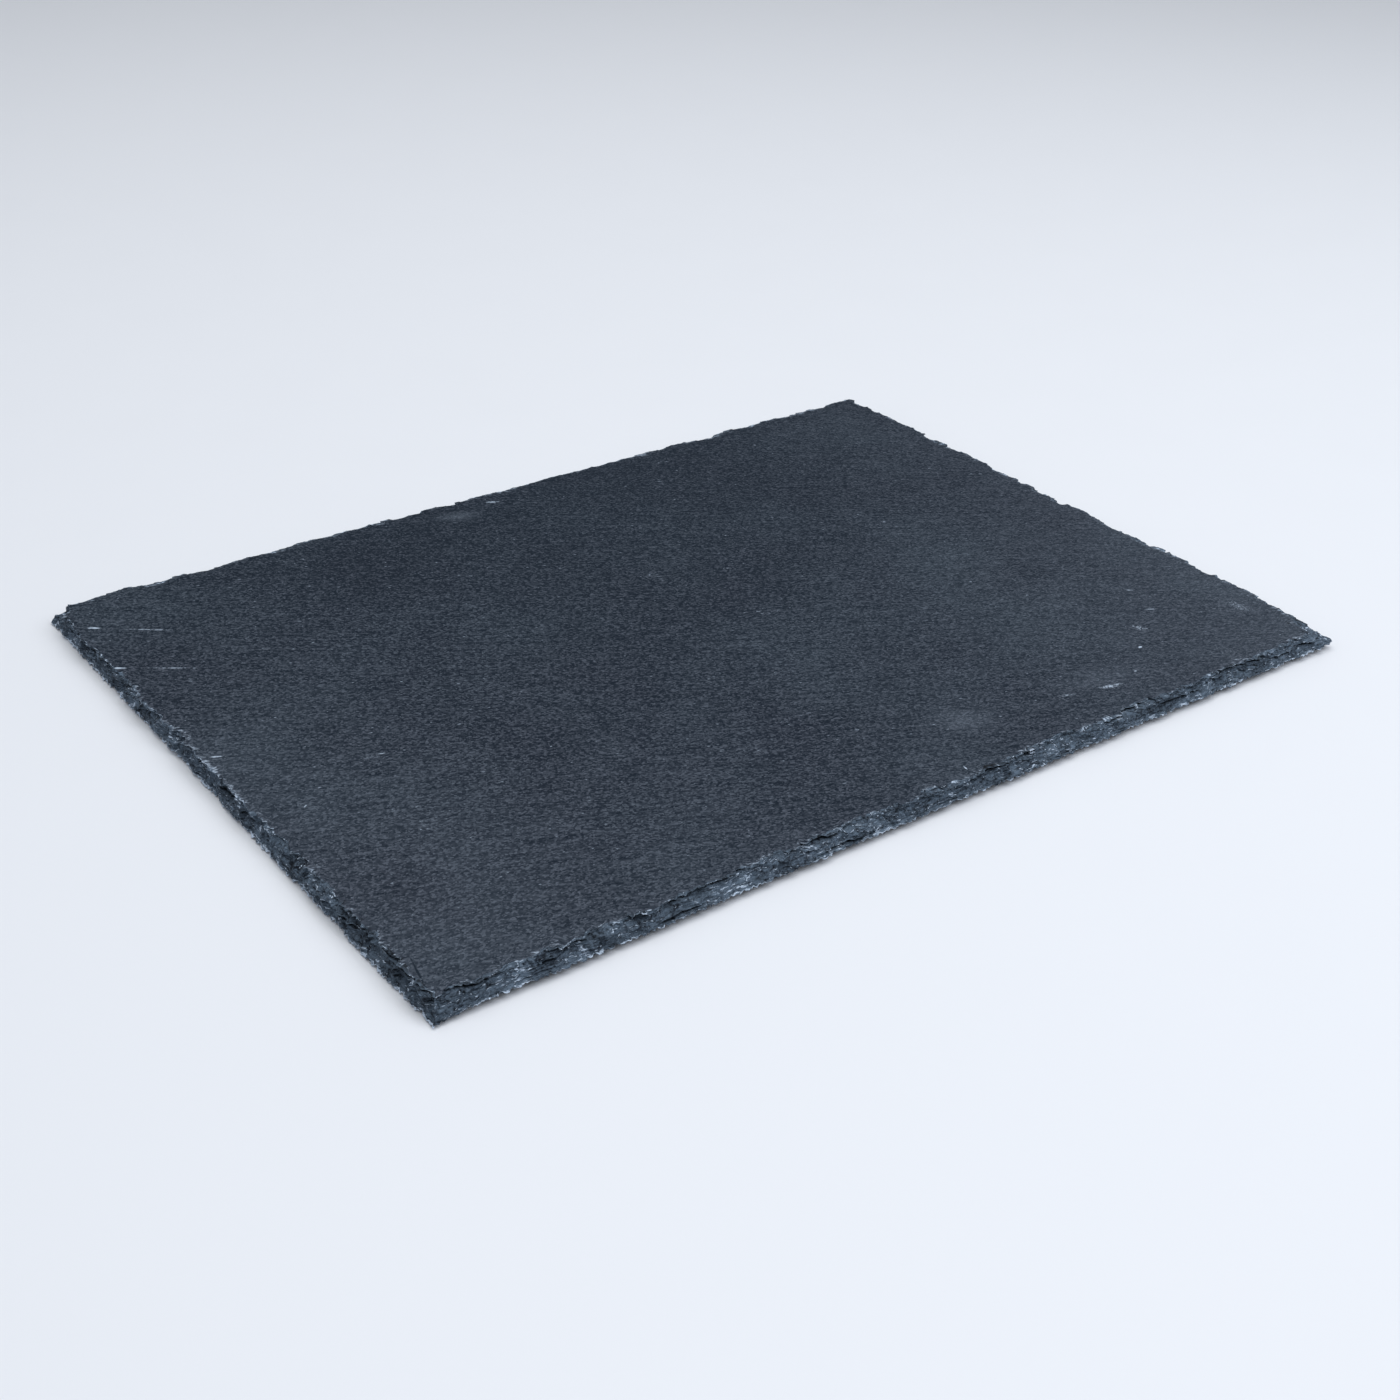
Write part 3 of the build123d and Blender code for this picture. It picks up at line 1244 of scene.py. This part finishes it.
    def _upwards(self, tree: Any, size: Any, stored: Any, opening: Any) -> Any:
        """How far the points move up: the leaves' drift, the clefts, the spalls, the relief."""
        height = stored["height"]
        from_top = add_node(tree, MATHS, {0: 1.0, 1: height}, operation="SUBTRACT")
        from_faces = add_node(tree, MATHS, {0: height, 1: from_top}, operation="MULTIPLY")
        long = {"Vector": stored["rim"], "Scale": per(self.swell_length), "Detail": 3.0}
        swell = add_node(tree, NOISE, long)
        swell = add_node(tree, MATHS, {0: swell, 1: 0.5}, operation="SUBTRACT")
        swell = add_node(tree, MATHS, {0: swell, 1: size["Leaf Drift"]}, operation="MULTIPLY")
        swell = add_node(tree, MATHS, {0: swell, 1: 4.0}, operation="MULTIPLY")
        gap = add_node(tree, MATHS, {0: opening, 1: size["Cleft Height"]}, operation="MULTIPLY")
        gap = add_node(tree, MATHS, {0: gap, 1: stored["lift"]}, operation="MULTIPLY")
        up = add_node(tree, MATHS, {0: swell, 1: from_faces, 2: gap}, operation="MULTIPLY_ADD")

        small = {"Vector": stored["rim"], "Scale": per(self.spall_width), "Detail": 3.0}
        patches = add_node(tree, NOISE, small)
        spared = {0: patches, 1: -1.6, 2: stored["shoulder"]}
        reach = add_node(tree, MATHS, spared, operation="MULTIPLY_ADD")
        spall = add_node(tree, MATHS, {0: reach, 1: 0.0}, operation="MAXIMUM")
        spall = add_node(tree, MATHS, {0: spall, 1: size["Shoulder Spall"]}, operation="MULTIPLY")
        drawn = add_node(tree, VECTORS, {0: stored["flow"], 1: (1.0, 4.5, 0.0)}, operation="MULTIPLY")
        wide = {"Vector": drawn, "Scale": per(self.wave_length), "Detail": 4.0}
        waves = add_node(tree, NOISE, wide)
        riven = add_node(tree, MATHS, {0: waves, 1: size["Rive Height"]}, operation="MULTIPLY")
        lowered = {0: riven, 1: stored["relief"], 2: spall}
        down = add_node(tree, MATHS, lowered, operation="MULTIPLY_ADD")
        rise = add_node(tree, MATHS, {0: up, 1: down}, operation="SUBTRACT")
        room = add_node(tree, MATHS, {0: from_top, 1: self.head_room * MM}, operation="MULTIPLY")
        return add_node(tree, MATHS, {0: rise, 1: room}, operation="MINIMUM")


# ---- The feet --------------------------------------------------------------------------------


@dataclass
class FoamFoot:
    """One die-cut foam foot, squeezed a little by the stone so that its side bulges."""

    name: str
    low: Vector
    high: Vector
    bulge: float = 0.14
    rim: float = 0.3
    sides: int = 96
    layers: int = 14
    rings: int = 10

    def build(self, tree: bpy.types.NodeTree) -> bpy.types.Object:
        """Makes the foot with the shared geometry tree.

        Args:
            tree: What moulding_tree gives.

        Returns:
            The foot, closed, where its CAD node is.
        """
        piece = link_new(self.name, bpy.data.meshes.new(self.name))
        centre = (self.low + self.high) / 2
        sizes = {f"Centre {axis}": place for axis, place in zip("XYZ", centre)}
        sizes |= {"Radius": (self.high.x - self.low.x) / 2, "Height": self.high.z - self.low.z}
        sizes |= {"Bulge": self.bulge * MM, "Rim": self.rim * MM}
        run_geometry_tree(piece, tree, sizes)
        return piece

    @classmethod
    def moulding_tree(cls, material: bpy.types.Material) -> bpy.types.NodeTree:
        """The geometry tree of a squeezed disc: a cylinder that bulges at its waist.

        Args:
            material: The foam.

        Returns:
            The tree, whose named inputs are the disc's sizes and its centre.
        """
        names = ("Radius", "Height", "Bulge", "Rim", "Centre X", "Centre Y", "Centre Z")
        tree, given = new_geometry_tree("squeezed_disc", dict.fromkeys(names, 0.0))
        size = given.outputs
        counts = {"Vertices": cls.sides, "Side Segments": cls.layers, "Fill Segments": cls.rings}
        spans = {"Radius": size["Radius"], "Depth": size["Height"]}
        disc = add_node(tree, "GeometryNodeMeshCylinder", {**counts, **spans}, fill_type="TRIANGLE_FAN")
        place = add_node(tree, "GeometryNodeInputPosition")
        level = add_node(tree, SPLIT, {"Vector": place}).outputs["Z"]
        level = add_node(tree, MATHS, {0: level, 1: size["Height"]}, operation="DIVIDE")
        level = add_node(tree, MATHS, {0: level, 1: 2.0}, operation="MULTIPLY")
        squared = add_node(tree, MATHS, {0: level, 1: 2.0}, operation="POWER")
        steep = add_node(tree, MATHS, {0: squared, 1: 5.0}, operation="POWER")
        bulge = add_node(tree, MATHS, {0: squared, 1: size["Bulge"]}, operation="MULTIPLY")
        rim = add_node(tree, MATHS, {0: steep, 1: size["Rim"]}, operation="MULTIPLY")
        drawn_in = add_node(tree, MATHS, {0: bulge, 1: rim}, operation="ADD")
        share = add_node(tree, MATHS, {0: drawn_in, 1: size["Radius"]}, operation="DIVIDE")
        keep = add_node(tree, MATHS, {0: 1.0, 1: share}, operation="SUBTRACT")
        narrowed = add_node(tree, JOIN, {"X": keep, "Y": keep, "Z": 1.0})
        drawn = add_node(tree, VECTORS, {0: place, 1: narrowed}, operation="MULTIPLY")
        centre = add_node(tree, JOIN, {axis: size[f"Centre {axis}"] for axis in "XYZ"})
        put = add_node(tree, VECTORS, {0: drawn, 1: centre}, operation="ADD")
        moved = {"Geometry": disc, "Position": put}
        shaped = add_node(tree, "GeometryNodeSetPosition", moved)
        shading = {"Geometry": shaped, "Shade Smooth": True}
        end_geometry_tree(tree, add_node(tree, "GeometryNodeSetShadeSmooth", shading), material)
        return tree


# ---- The studio ------------------------------------------------------------------------------


@dataclass(frozen=True)
class SoftBox:
    """A square soft box that faces the board: its place and side in metres, its power in watts."""

    name: str
    place: tuple[float, float, float]
    side: float
    power: float
    colour: str

    def hang(self) -> None:
        """Puts the soft box in the scene."""
        lamp = bpy.data.lights.new(self.name, "AREA")
        lamp.shape = "SQUARE"
        lamp.size = self.side
        lamp.energy = self.power
        lamp.color = linear(self.colour)[:3]
        holder = bpy.data.objects.new(self.name, lamp)
        holder.location = self.place
        holder.rotation_euler = (-Vector(self.place)).to_track_quat("-Z", "Y").to_euler()
        bpy.context.scene.collection.objects.link(holder)


@dataclass
class Studio:
    """A pale table, soft light from the front right, from above and from the left, the camera.

    The light from the front is a little bluer than the light from above.
    """

    floor_reach: float = 4.0
    focal_length: float = 50.28
    shift_x: float = -0.0501
    camera_place: tuple[float, float, float] = (-0.39625, -0.54287, 0.35935)
    heading: float = 38.628
    tilt: float = 29.960
    roll: float = 1.956
    room_colour: str = "#e8edf6"
    room_strength: float = 0.40
    soft_boxes: tuple[SoftBox, ...] = (
        SoftBox("key_soft_box", (0.85, -1.05, 1.35), 1.2, 16.6, "#f1f6ff"),
        SoftBox("overhead_soft_box", (0.2, 0.25, 1.75), 2.0, 21.6, "#fcfdfe"),
        SoftBox("left_soft_box", (-1.5, 0.5, 0.75), 1.2, 2.5, "#eaf1ff"),
    )

    def floor(self, lacquer: TableLacquer) -> None:
        """Makes the table top that the board stands on."""
        mesh = bpy.data.meshes.new("table_top")
        reach = self.floor_reach
        corners = [(-reach, -reach, 0), (reach, -reach, 0), (reach, reach, 0), (-reach, reach, 0)]
        mesh.from_pydata(corners, [], [(0, 1, 2, 3)])
        mesh.materials.append(lacquer.material())
        link_new("table_top", mesh)

    def light(self) -> None:
        """Hangs the soft boxes and sets the room's own light."""
        for box in self.soft_boxes:
            box.hang()
        world = bpy.data.worlds.new("studio_room")
        world.use_nodes = True
        tree = world.node_tree
        tree.nodes.clear()
        room = {"Color": linear(self.room_colour), "Strength": self.room_strength}
        glow = add_node(tree, "ShaderNodeBackground", room)
        add_node(tree, "ShaderNodeOutputWorld", {"Surface": glow})
        bpy.context.scene.world = world
        bpy.context.scene.view_settings.view_transform = "Standard"

    def camera(self) -> None:
        """Sets up the camera: down at the board's front left corner, from a low stand."""
        heading, tilt, roll = (math.radians(a) for a in (self.heading, self.tilt, self.roll))
        onwards = (math.sin(heading) * math.cos(tilt), math.cos(heading) * math.cos(tilt))
        forward = Vector((*onwards, -math.sin(tilt)))
        level_right = Vector((math.cos(heading), -math.sin(heading), 0.0))
        level_up = level_right.cross(forward)
        right = math.cos(roll) * level_right + math.sin(roll) * level_up
        up = -math.sin(roll) * level_right + math.cos(roll) * level_up
        lens = bpy.data.cameras.new("studio_camera")
        lens.sensor_width = 36.0
        lens.lens = self.focal_length
        lens.shift_x = self.shift_x
        holder = bpy.data.objects.new("studio_camera", lens)
        turn = Matrix((right, up, -forward)).transposed()
        holder.matrix_world = Matrix.Translation(self.camera_place) @ turn.to_4x4()
        bpy.context.scene.collection.objects.link(holder)
        bpy.context.scene.camera = holder


# ---- Putting it together -----------------------------------------------------------------------


MARKS = (
    Mark(125.5, -115.2, 3.0, 2.2, strength=0.9, speck=2.0),
    Mark(110.0, -127.3, 2.4, 1.6, strength=0.5, speck=2.0),
    Mark(93.8, -130.1, 24.0, 6.0, turn=-16.0, strength=0.8, speck=1.1, sparse=0.28, fade=0.3),
    Mark(75.7, -125.6, 20.0, 5.0, turn=-20.0, strength=0.5, speck=1.0, sparse=0.3, fade=0.4),
    Mark(137.0, -104.0, 22.0, 15.0, turn=-60.0, strength=0.5, speck=0.7, sparse=0.38),
    Mark(152.4, -95.4, 9.0, 2.5, turn=-28.0, strength=0.35, sparse=0.2),
    Mark(184.0, -114.0, 46.0, 22.0, turn=98.0, strength=0.4, speck=0.7, sparse=0.36, fade=0.3),
    Mark(-10.0, 137.5, 16.0, 5.0, turn=-25.0, strength=0.5, sparse=0.28),
    Mark(-30.0, 133.0, 30.0, 14.0, turn=-20.0, strength=0.12, sparse=0.0, fade=0.8),
    Mark(158.0, -79.0, 7.0, 4.0, turn=-40.0, strength=0.5, sparse=0.2, fade=0.5),
    Mark(32.0, -117.0, 44.0, 30.0, turn=-30.0, strength=0.10, sparse=0.0, fade=0.9),
    Mark(96.0, -124.0, 60.0, 22.0, turn=-12.0, strength=0.05, sparse=0.0, fade=0.7),
    Mark(11.0, -141.0, 5.0, 1.2, turn=80.0, strength=0.7, speck=2.0),
    Mark(-192.0, 121.4, 8.0, 2.4, turn=-33.0, strength=0.75, speck=2.0),
    Mark(-176.0, 109.0, 40.0, 1.8, turn=-37.0, strength=0.5, speck=1.5, sparse=0.28),
    Mark(-196.0, 86.5, 8.0, 2.2, turn=-35.0, strength=0.75, speck=2.0),
    Mark(-180.0, 75.6, 44.0, 1.8, turn=-35.0, strength=0.5, speck=1.5, sparse=0.27),
    Mark(-193.0, 9.8, 7.0, 1.8, turn=-28.0, strength=0.7, speck=2.0),
    Mark(-182.0, -35.0, 3.4, 1.0, turn=35.0, strength=0.5, speck=2.0),
    Mark(-195.0, -134.0, 31.0, 1.5, turn=78.0, strength=0.9, speck=3.0, tone=Tone.DARK),
    Mark(-114.5, -33.0, 9.0, 2.0, turn=-25.0, strength=0.7, tone=Tone.DARK),
    Mark(-131.6, 36.0, 5.0, 2.0, turn=-25.0, strength=0.7, tone=Tone.DARK),
    Mark(-77.6, 29.0, 5.0, 2.0, turn=-25.0, strength=0.7, tone=Tone.DARK),
    Mark(-29.0, -103.5, 4.0, 2.0, turn=-25.0, strength=0.7, tone=Tone.DARK),
)


def main() -> None:
    """Builds the board's pieces in order, and then the studio."""
    logging.basicConfig(level=logging.INFO, format="%(name)s: %(message)s")
    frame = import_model()
    feet = sorted(name for name in frame["nodes"] if name.startswith("foot_pad_"))

    slate = RivenSlate().material(MARKS)
    low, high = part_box("slate_slab")
    places = [sum(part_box(name), Vector()) / 2 for name in feet]
    slab = SlateSlab(low, high, places).build(slate)
    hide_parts("slate_slab")
    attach(slab, "root")
    log.info("%s: %d triangles", slab.name, triangle_count(slab))

    mould = FoamFoot.moulding_tree(FootFoam().material())
    for node in feet:
        foot = FoamFoot(node.replace("foot_pad", "foam_foot"), *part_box(node)).build(mould)
        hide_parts(node)
        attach(foot, "root")
        log.info("%s: %d triangles", foot.name, triangle_count(foot))

    film = FootAdhesive().material()
    for name, node in frame["nodes"].items():
        if name.startswith("adhesive_disc_"):
            node.data.materials.clear()
            node.data.materials.append(film)
            log.info("%s: carried over", name)

    studio = Studio()
    studio.floor(TableLacquer())
    studio.light()
    studio.camera()


if __name__ == "__main__":
    main()
